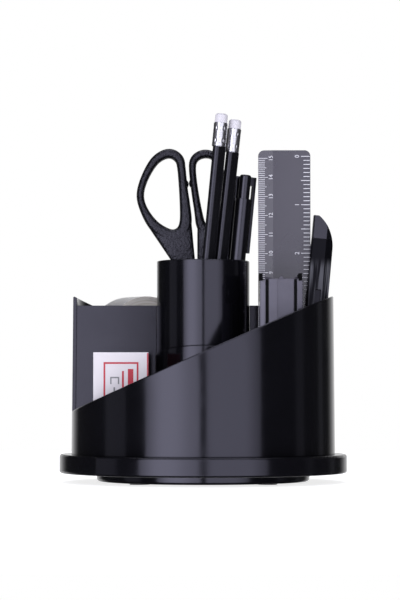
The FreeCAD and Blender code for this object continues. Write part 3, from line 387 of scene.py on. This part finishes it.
def loop_surface(hole):
    """A band round a finger hole: a rectangle with elliptic corners, carried along the hole's edge outside it."""
    corner_across, corner_deep = 1.9, 3.3
    steps_per_knot, steps_round = 14, 36
    x, z, width = closed_curve(hole, steps_per_knot).T
    along = np.stack([np.roll(x, -1) - np.roll(x, 1), np.roll(z, -1) - np.roll(z, 1)])
    along /= np.linalg.norm(along, axis=0)
    s = (np.arange(steps_round) + 0.5) * 2 * pi / steps_round
    out = np.cos(s) > 0
    reach = np.where(out, width[:, None], 0) + corner_across * (np.cos(s) - np.where(out, 1, -1))
    y = np.sign(np.sin(s)) * (SCISSORS_HALF_DEPTH - corner_deep) + corner_deep * np.sin(s)
    return np.stack([x[:, None] + reach * along[1][:, None], np.broadcast_to(y, reach.shape),
                     z[:, None] - reach * along[0][:, None]], -1)


def neck_surface(low, end):
    """A neck from under the hole to the blade: two arcs joined by straight lines, with a superellipse section."""
    squareness, inset = 0.55, 0.05
    half_sweep, hole_share = radians(80), 0.61
    steps_along, steps_round = 14, 64
    low_centre, end_centre = np.array(low[:2]), np.array(end[:2])
    down = (end_centre - low_centre) / np.linalg.norm(end_centre - low_centre)
    aside = np.array([-down[1], down[0]])
    s = np.linspace(0, 2 * pi, steps_round, endpoint=False)
    u = np.sign(np.cos(s)) * np.abs(np.cos(s)) ** squareness
    y = (SCISSORS_HALF_DEPTH - inset) * np.sign(np.sin(s)) * np.abs(np.sin(s)) ** squareness
    beta = half_sweep * u
    heading = np.cos(beta)[:, None] * down + np.sin(beta)[:, None] * aside
    # The upper arc keeps clear of the hole in its middle
    hole_room = hole_share * low[2]
    first = low_centre + (hole_room + (low[2] - hole_room) * u ** 2)[:, None] * heading
    last = end_centre + end[2] * heading
    v = np.linspace(0, 1, steps_along)[:, None, None]
    flat = (1 - v) * first + v * last
    depth = np.broadcast_to(y, flat.shape[:2])
    # Both ends close on a line at half depth
    flat = np.concatenate([flat[:1], flat, flat[-1:]])
    depth = np.concatenate([0 * depth[:1], depth, 0 * depth[-1:]])
    return np.stack([flat[..., 0], depth, flat[..., 1]], -1)


def bump_surface(x, z, reach, height, depth):
    """A stop bump: an ellipsoid, x = reach cos(a) cos(b), z = height sin(a), y = depth cos(a) sin(b)."""
    steps_up, steps_round = 17, 32
    a = np.linspace(-pi / 2, pi / 2, steps_up)[:, None]
    b = np.linspace(0, 2 * pi, steps_round, endpoint=False)[None, :]
    return np.stack([x + reach * np.cos(a) * np.cos(b), depth * np.cos(a) * np.sin(b),
                     z + height * np.sin(a) + 0 * b], -1)


def scissors_handle(word, hole, neck, bump):
    """One grip: the band, the neck and the stop bump, leaned with the scissors."""
    shapes = [(loop_surface(hole), True), (neck_surface(*neck), False), (bump_surface(*bump), False)]
    parts = [grid(stand(points, SCISSORS_FOOT, SCISSORS_LEAN), closed) for points, closed in shapes]
    node = f"scissors_{word}_handle"
    piece(f"{word}_handle_grip", parts, grip_polypropylene, f"scissors_{word}", [node])


scissors_handle("left", FINGER_HOLE, FINGER_NECK, FINGER_STOP)
scissors_handle("right", THUMB_HOLE, THUMB_NECK, THUMB_STOP)


# Ends of the pencils

def ferrule_surface(low):
    """A crimped tube: its radius less two rows of dimples round it and three pressed rings, each a Gauss curve."""
    rim_step, rim_start = 0.28, 0.965
    dimples, dimple_depth, dimple_rows, dimple_spread = 12, 0.2, (0.24, 0.76), 0.075
    ring_depth, ring_rows, ring_spread = 0.07, (0.42, 0.5, 0.58), 0.018
    steps_along, steps_round = 90, 120
    theta = np.linspace(0, 2 * pi, steps_round, endpoint=False)[None, :]
    t = np.linspace(0, 1, steps_along)[:, None]
    z = low + FERRULE_LENGTH * t
    radius = FERRULE_RADIUS - rim_step * (np.abs(2 * t - 1) > rim_start)
    pinch = (0.5 + 0.5 * np.cos(dimples * theta)) ** 2
    for row in dimple_rows:
        radius = radius - dimple_depth * pinch * np.exp(-((t - row) / dimple_spread) ** 2)
    for row in ring_rows:
        radius = radius - ring_depth * np.exp(-((t - row) / ring_spread) ** 2)
    outer = np.stack([radius * np.cos(theta), radius * np.sin(theta), z + 0 * theta], -1)
    bore_z = low + FERRULE_LENGTH * np.array([1.0, 0.0])[:, None]
    inner = np.stack([FERRULE_BORE * np.cos(theta) + 0 * bore_z, FERRULE_BORE * np.sin(theta) + 0 * bore_z,
                      bore_z + 0 * theta], -1)
    return np.concatenate([outer, inner])


def eraser_surface(top):
    """A turned plug: a straight side that ends in a quarter circle and a flat top, its radius against its height."""
    soft, steps_up, steps_round = 1.3, 12, 48
    arc = np.linspace(0, pi / 2, steps_up)
    low = top - ERASER_PROUD - ERASER_DEPTH
    radius = np.concatenate([[0, ERASER_RADIUS], ERASER_RADIUS - soft + soft * np.cos(arc), [0]])[:, None]
    z = np.concatenate([[low, low], top - soft + soft * np.sin(arc), [top]])[:, None]
    theta = np.linspace(0, 2 * pi, steps_round, endpoint=False)[None, :]
    return np.stack([radius * np.cos(theta), radius * np.sin(theta), z + 0 * theta], -1)


for name, (foot, lean, length) in PENCILS.items():
    tube = ferrule_surface(length - ERASER_PROUD - FERRULE_LENGTH)
    piece(f"{name}_crimped_ferrule", [grid(stand(tube, foot, lean), True)], crimped_tin, name,
          [f"{name}_ferrule"], crease=50)
    plug = eraser_surface(length)
    piece(f"{name}_domed_eraser", [grid(stand(plug, foot, lean))], eraser_vinyl, name,
          [f"{name}_eraser"], crease=60)


# Roll of tape

def roll_surface():
    """A wound ring: the outer radius climbs one film's thickness in a turn, so the tape's end shows as a step.

    Its sides lie a little inside the width and wave with the radius, as the sum of two sines.
    """
    film, soft, sunk = 0.12, 0.25, 0.07
    # Each wave's height and its radians per millimetre of radius
    waves = ((0.04, 2.1), (0.03, 5.3))
    steps_round, steps_out = 241, 30
    half = TAPE_WIDTH / 2
    theta = np.linspace(0, 2 * pi, steps_round)[None, :]
    side = np.linspace(TAPE_BORE, TAPE_RADIUS - soft - film, steps_out)
    face = half - sunk + sum(height * np.sin(side * rate) for height, rate in waves)
    outer = TAPE_RADIUS - film * (1 - theta / (2 * pi))
    bore_row, side_rows = TAPE_BORE + 0 * theta, side[:, None] + 0 * theta
    radius = np.concatenate([bore_row, side_rows, outer, outer, outer, side_rows[::-1], bore_row])
    y = np.concatenate([[half], face, [half - soft, 0.0, soft - half], -face[::-1], [-half]])[:, None]
    return np.stack([radius * np.cos(theta), y + 0 * theta, radius * np.sin(theta)], -1)


piece("wound_tape", [grid(stand(roll_surface(), TAPE_CENTRE, 0, TAPE_TURN), True, False)], tape_film, "tape",
      ["tape_roll"], crease=50)


# Scale of the ruler: heights of the zero marks, sizes of the marks and figures, and the half thickness of the ink

ZERO_CM, ZERO_INCH, INCH = 19.3, 170.3, 25.4
CENTIMETRES, INCHES, INCH_PARTS = 15, 6, 12
CM_MARK, HALF_CM_MARK, MM_MARK, INCH_MARK, TWELFTH_MARK = 4.9, 4.2, 3.4, 4.6, 3.3
THIN_BAR, BAR = 0.26, 0.36
LEFT_MARGIN, RIGHT_MARGIN = 0.1, 0.3
CM_FIGURE, CM_FIGURE_X, INCH_FIGURE, INCH_FIGURE_X, FIGURE_TURN = 3.0, 35.5, 3.2, 49.2, 90
RULER_INK = 0.02


def ruler_face(x):
    """Depth of the front face at x: a straight slope over the bevel, then level."""
    slope = np.clip((x - RULER_LEFT) / RULER_BEVEL, 0, 1)
    return RULER_BACK - RULER_EDGE - (RULER_THICK - RULER_EDGE) * slope


def marks(start, reach, z, width):
    """Thin printed bars on the ruler's face, from start across by reach, as slabs that follow the slope."""
    start, reach, z = np.broadcast_arrays(np.asarray(start, float), reach, z)
    low = np.stack([start, 0 * start, z - width / 2], -1)
    high = np.stack([start + reach, 0 * start + 1, z + width / 2], -1)
    vertices, quads = slabs(low, high)
    # The slabs run from depth 0 to 1 here, which tells a front corner from a back one
    inside = vertices[:, 1] > 0.5
    vertices[:, 1] = ruler_face(vertices[:, 0]) + np.where(inside, RULER_INK, -RULER_INK)
    return vertices, quads


def numerals(text, size, x, z, turn):
    """Figures from the built-in typeface, filled flat, turned in the ruler's plane and centred on x and z."""
    curve = bpy.data.curves.new("figures", "FONT")
    curve.body, curve.size = text, size
    curve.align_x, curve.align_y = "CENTER", "CENTER"
    curve.fill_mode = "FRONT"
    curve.resolution_u = 3
    holder = bpy.data.objects.new("figures", curve)
    bpy.context.scene.collection.objects.link(holder)
    bpy.context.view_layer.update()
    flat = bpy.data.meshes.new_from_object(holder)
    flat.calc_loop_triangles()
    spots, corners = np.empty(3 * len(flat.vertices)), np.empty(3 * len(flat.loop_triangles), int)
    flat.vertices.foreach_get("co", spots)
    flat.loop_triangles.foreach_get("vertices", corners)
    spots = spots.reshape(-1, 3)
    bpy.data.objects.remove(holder)
    bpy.data.curves.remove(curve)
    bpy.data.meshes.remove(flat)
    t = radians(turn)
    across, up = spots[:, 0] * cos(t) - spots[:, 1] * sin(t), spots[:, 0] * sin(t) + spots[:, 1] * cos(t)
    return np.stack([x + across, ruler_face(x + across) - RULER_INK, z + up], -1), corners.reshape(-1, 3)


millimetre = np.arange(10 * CENTIMETRES + 1)
cm_reach = np.select([millimetre % 10 == 0, millimetre % 5 == 0], [CM_MARK, HALF_CM_MARK], MM_MARK)
twelfth = np.arange(INCH_PARTS * INCHES + 1)
inch_reach = np.where(twelfth % (INCH_PARTS // 2) == 0, INCH_MARK, TWELFTH_MARK)
scale = [marks(RULER_LEFT + LEFT_MARGIN, cm_reach, ZERO_CM + millimetre, THIN_BAR),
         marks(RULER_RIGHT - RIGHT_MARGIN - inch_reach, inch_reach, ZERO_INCH - twelfth * INCH / INCH_PARTS, BAR)]
piece("ruler_scale_bars", scale, white_print, "ruler")
figures = [numerals(str(k), CM_FIGURE, CM_FIGURE_X, ZERO_CM + 10 * k, FIGURE_TURN) for k in range(CENTIMETRES + 1)]
figures += [numerals(str(k), INCH_FIGURE, INCH_FIGURE_X, ZERO_INCH - INCH * k, FIGURE_TURN)
            for k in range(INCHES + 1)]
# The figures are flat and face the front already, so they are not merged or turned
attach("ruler_scale_figures", joined("ruler_scale_figures", figures, white_print), "ruler")


# Painted shade in the grooves of the stapler's cap: a thin dark strip on the bottom of each

STRIP_PROUD, STRIP_DEEP = 0.1, 0.05
groove = np.array(GROOVES)
lows = np.stack([groove - GROOVE_HALF, 0 * groove + GROOVE_BOTTOM - STRIP_PROUD, 0 * groove + GROOVE_LOW], -1)
highs = np.stack([groove + GROOVE_HALF, 0 * groove + GROOVE_BOTTOM + STRIP_DEEP, 0 * groove + GROOVE_HIGH], -1)
# The dark strips are painted shade, standing in for the shadow in the grooves
piece("stapler_groove_painted_shade", [slabs(lows, highs)], dull_abs_and_groove_shade, "stapler_arm")


# Print on the box of staples: a red line frame, a red side and edge, and a few plain bars

INK_PROUD, INK_DEEP, PRINT_MARGIN = 0.03, 0.02, 0.4
LINE, EDGE_LINE, EDGE_INSET = 0.9, 0.65, 0.7
FRAME_LEFT, FRAME_RIGHT, FRAME_LOW, FRAME_HIGH = -50.8, -33.0, 20.4, 62.2
FRAME_WIDTH, FRAME_HEIGHT = FRAME_RIGHT - FRAME_LEFT, FRAME_HIGH - FRAME_LOW
# Each red bar inside the frame: in from its right, up from its foot, width, and how much shorter than the frame
INNER_BARS = ((5.4, 6.0, 2.8, 9.5), (8.4, 14.0, 1.0, 18.5))
# The drawn staple: in from the frame's left, down from its top, width, leg and line
STAPLE_IN, STAPLE_DOWN, STAPLE_WIDTH, STAPLE_LEG, STAPLE_LINE = 3.4, 8.2, 4.6, 3.0, 0.7
# The grey lines: in from the frame's left, up from its foot, step from one to the next, width, and their lengths
GREY_IN, GREY_UP, GREY_STEP, GREY_LINE, GREY_LENGTHS = 3.2, 5.0, 1.9, 0.8, (20.0, 24.0, 15.0)


def box_front(x, z, width, height):
    """A printed bar on the front of the sleeve: low corner at x, z."""
    face = BOX_LOW[1]
    return np.array([x, face - INK_PROUD, z]), np.array([x + width, face + INK_DEEP, z + height])


# Bars as x, z, width and height: the frame, the bars inside it, and the box's edge
red_bars = [(FRAME_LEFT, FRAME_LOW, LINE, FRAME_HEIGHT), (FRAME_RIGHT - LINE, FRAME_LOW, LINE, FRAME_HEIGHT),
            (FRAME_LEFT + LINE, FRAME_LOW, FRAME_WIDTH - 2 * LINE, LINE),
            (FRAME_LEFT + LINE, FRAME_HIGH - LINE, FRAME_WIDTH - 2 * LINE, LINE),
            *((FRAME_RIGHT - inward, FRAME_LOW + up, width, FRAME_HEIGHT - shorter)
              for inward, up, width, shorter in INNER_BARS),
            (BOX_HIGH[0] - EDGE_INSET, BOX_LOW[2] + PRINT_MARGIN, EDGE_LINE,
             BOX_HIGH[2] - BOX_LOW[2] - 2 * PRINT_MARGIN)]
side_low = np.array([BOX_HIGH[0] - INK_DEEP, BOX_LOW[1] + PRINT_MARGIN, BOX_LOW[2] + PRINT_MARGIN])
side_high = np.array([BOX_HIGH[0] + INK_PROUD, BOX_HIGH[1] - PRINT_MARGIN, BOX_HIGH[2] - PRINT_MARGIN])
lows, highs = zip(*(box_front(*bar) for bar in red_bars), (side_low, side_high))
piece("box_red_print", [slabs(np.array(lows), np.array(highs))], red_print, "staple_box")

# A staple drawn as three bars, and three lines
staple_x, staple_z = FRAME_LEFT + STAPLE_IN, FRAME_HIGH - STAPLE_DOWN
staple_bars = [(staple_x, staple_z, STAPLE_WIDTH, STAPLE_LINE),
               (staple_x, staple_z - STAPLE_LEG, STAPLE_LINE, STAPLE_LEG),
               (staple_x + STAPLE_WIDTH - STAPLE_LINE, staple_z - STAPLE_LEG, STAPLE_LINE, STAPLE_LEG)]
line_bars = [(FRAME_LEFT + GREY_IN + GREY_STEP * k, FRAME_LOW + GREY_UP, GREY_LINE, length)
             for k, length in enumerate(GREY_LENGTHS)]
lows, highs = zip(*(box_front(*bar) for bar in staple_bars + line_bars))
piece("box_grey_print", [slabs(np.array(lows), np.array(highs))], grey_print, "staple_box")


# Studio, in metres

LIGHT_DISTANCE, LIGHT_HEIGHT, LIGHT_TINT = 1.15, 0.15, "#f3f4ff"
SOFTBOX_ANGLE, SOFTBOX_WIDTH, SOFTBOX_HEIGHT = 26, 0.99, 1.5
# Each softbox's side, radiance, and brightness of its middle against its inner edge
SOFTBOXES = {"left": (-1, 2.6, 1.4), "right": (1, 2.1, 0.93)}
TOP_PLACE, TOP_SIZE, TOP_RADIANCE = (0, 0.1, 1.3), 1.1, 2.2
# Each reflecting card's angle from the front towards the right, width and radiance
CARDS = {"left": (-80, 0.46, 0.22), "right": (90, 0.2, 0.1), "rear": (121, 0.16, 0.09)}
CARD_HEIGHT = 1.2


def softbox(name, place, aim, width, height, radiance):
    """A rectangular light of even brightness; its power is pi x area x radiance."""
    lamp = bpy.data.lights.new(name, "AREA")
    lamp.shape = "RECTANGLE"
    lamp.size, lamp.size_y = width, height
    lamp.energy = pi * width * height * radiance
    lamp.color = linear(LIGHT_TINT)[:3]
    holder = bpy.data.objects.new(name, lamp)
    holder.location = place
    holder.rotation_euler = (Vector(aim) - Vector(place)).to_track_quat("-Z", "Y").to_euler()
    holder.visible_camera = False
    bpy.context.scene.collection.objects.link(holder)
    return lamp


def graded(lamp, side, middle):
    """Grades a softbox across: that many times as bright in its middle, half as bright at its outer edge."""
    inner_level, edge_level = 0.95, 0.5
    # Start and end of the rise and of the fall, as shares of the width from the inner edge
    shares = (0.1, 0.5, 0.65, 1.0)
    lamp.use_nodes = True
    tree = lamp.node_tree
    tree.nodes.clear()
    spot = add(tree, "ShaderNodeNewGeometry").outputs["Parametric"]
    across = add(tree, "ShaderNodeSeparateXYZ", {0: spot}).outputs[0]
    gap, inner, outer, edge = (0.5 + side * (share - 0.5) for share in shares)
    rise = add(tree, "ShaderNodeMapRange", {"Value": across, "From Min": gap, "From Max": inner, "To Min": inner_level,
                                            "To Max": middle}, interpolation_type="SMOOTHSTEP")
    fall = add(tree, "ShaderNodeMapRange", {"Value": across, "From Min": outer, "From Max": edge, "To Min": 1.0,
                                            "To Max": edge_level}, interpolation_type="SMOOTHSTEP")
    level = add(tree, "ShaderNodeMath", {0: rise.outputs[0], 1: fall.outputs[0]}, operation="MULTIPLY")
    glow = add(tree, "ShaderNodeEmission", {"Strength": level.outputs[0]})
    add(tree, "ShaderNodeOutputLight", {"Surface": glow.outputs[0]})


def lights():
    """Two tall softboxes by the camera with a narrow gap, one overhead, and dim cards at the sides."""
    aim = (0, 0, LIGHT_HEIGHT)

    def around(angle):
        """A place on the circle of lights, at that angle from the front towards the right."""
        return LIGHT_DISTANCE * sin(radians(angle)), -LIGHT_DISTANCE * cos(radians(angle)), LIGHT_HEIGHT

    for word, (side, radiance, middle) in SOFTBOXES.items():
        lamp = softbox(f"{word}_softbox", around(side * SOFTBOX_ANGLE), aim, SOFTBOX_WIDTH, SOFTBOX_HEIGHT, radiance)
        graded(lamp, side, middle)
    softbox("top_softbox", TOP_PLACE, (0, 0, 0), TOP_SIZE, TOP_SIZE, TOP_RADIANCE)
    for word, (angle, width, radiance) in CARDS.items():
        softbox(f"{word}_card", around(angle), aim, width, CARD_HEIGHT, radiance)


def backdrop():
    """White to the camera; in reflections bright straight behind the caddy and nearly dark elsewhere."""
    behind_start, dark_level, bright_level = 0.75, 0.03, 0.9
    world = bpy.data.worlds.new("studio")
    bpy.context.scene.world = world
    world.use_nodes = True
    tree = world.node_tree
    tree.nodes.clear()
    heading = add(tree, "ShaderNodeTexCoord").outputs["Generated"]
    axes = add(tree, "ShaderNodeSeparateXYZ", {0: heading})
    behind = add(tree, "ShaderNodeMapRange", {"Value": axes.outputs[1], "From Min": behind_start, "From Max": 1.0,
                                              "To Min": dark_level, "To Max": bright_level},
                 interpolation_type="SMOOTHSTEP")
    seen = add(tree, "ShaderNodeLightPath").outputs["Is Camera Ray"]
    level = add(tree, "ShaderNodeMath", {0: behind.outputs[0], 1: seen}, operation="MAXIMUM")
    sky = add(tree, "ShaderNodeBackground", {"Color": linear("#ffffff"), "Strength": level.outputs[0]})
    add(tree, "ShaderNodeOutputWorld", {"Surface": sky.outputs[0]})


def painted_floor():
    """A pale painted disc that glows towards its rim, so that it runs into the backdrop; reflections leave it out."""
    glow_start, glow_full, near_glow, far_glow = 0.08, 0.3, 0.8, 0.95
    speck_size, rings, steps_round = 60, (0.0, 120.0, 300.0, 600.0), 96
    dark, pale = linear("#e6e6e6"), linear("#f0f0f0")
    board, tree, shader, place = finish("painted_board_white", {"Roughness": 0.8, "Emission Color": linear("#ffffff")})
    away = add(tree, "ShaderNodeVectorMath", {0: place}, operation="LENGTH")
    glow = add(tree, "ShaderNodeMapRange", {"Value": away.outputs["Value"], "From Min": glow_start,
                                            "From Max": glow_full, "To Min": near_glow, "To Max": far_glow},
               interpolation_type="SMOOTHSTEP")
    tree.links.new(glow.outputs[0], shader.inputs["Emission Strength"])
    speck = add(tree, "ShaderNodeTexNoise", {"Vector": place, "Scale": per_mm(speck_size), "Detail": 2.0})
    tone = add(tree, "ShaderNodeMix", {SHARE: speck.outputs[0], FIRST: dark, SECOND: pale}, data_type="RGBA")
    tree.links.new(tone.outputs[BLEND], shader.inputs["Base Color"])
    radius = np.array(rings)[:, None]
    turn = np.linspace(0, 2 * pi, steps_round, endpoint=False)[None, :]
    disc = grid(np.stack([radius * np.cos(turn), radius * np.sin(turn), 0 * radius * turn], -1))
    floor = bpy.data.objects.new("studio_floor", joined("studio_floor", [disc], board))
    bpy.context.scene.collection.objects.link(floor)
    floor.visible_glossy = floor.visible_shadow = False


def camera():
    """A long lens from the front, a little above the base, tipped up so that the caddy sits low in the picture."""
    place, tip = (-1.68, -1200, 48), 2.25
    focal_length, sensor_width = 137.5, 36.0
    near, far = 0.05, 20.0
    lens = bpy.data.cameras.new("front_camera")
    lens.lens, lens.sensor_width = focal_length, sensor_width
    lens.clip_start, lens.clip_end = near, far
    holder = bpy.data.objects.new("front_camera", lens)
    holder.location = [along * MM for along in place]
    holder.rotation_euler = (radians(90 + tip), 0, 0)
    bpy.context.scene.collection.objects.link(holder)
    bpy.context.scene.camera = holder


lights()
backdrop()
painted_floor()
camera()
bpy.context.scene.view_settings.view_transform = "Standard"
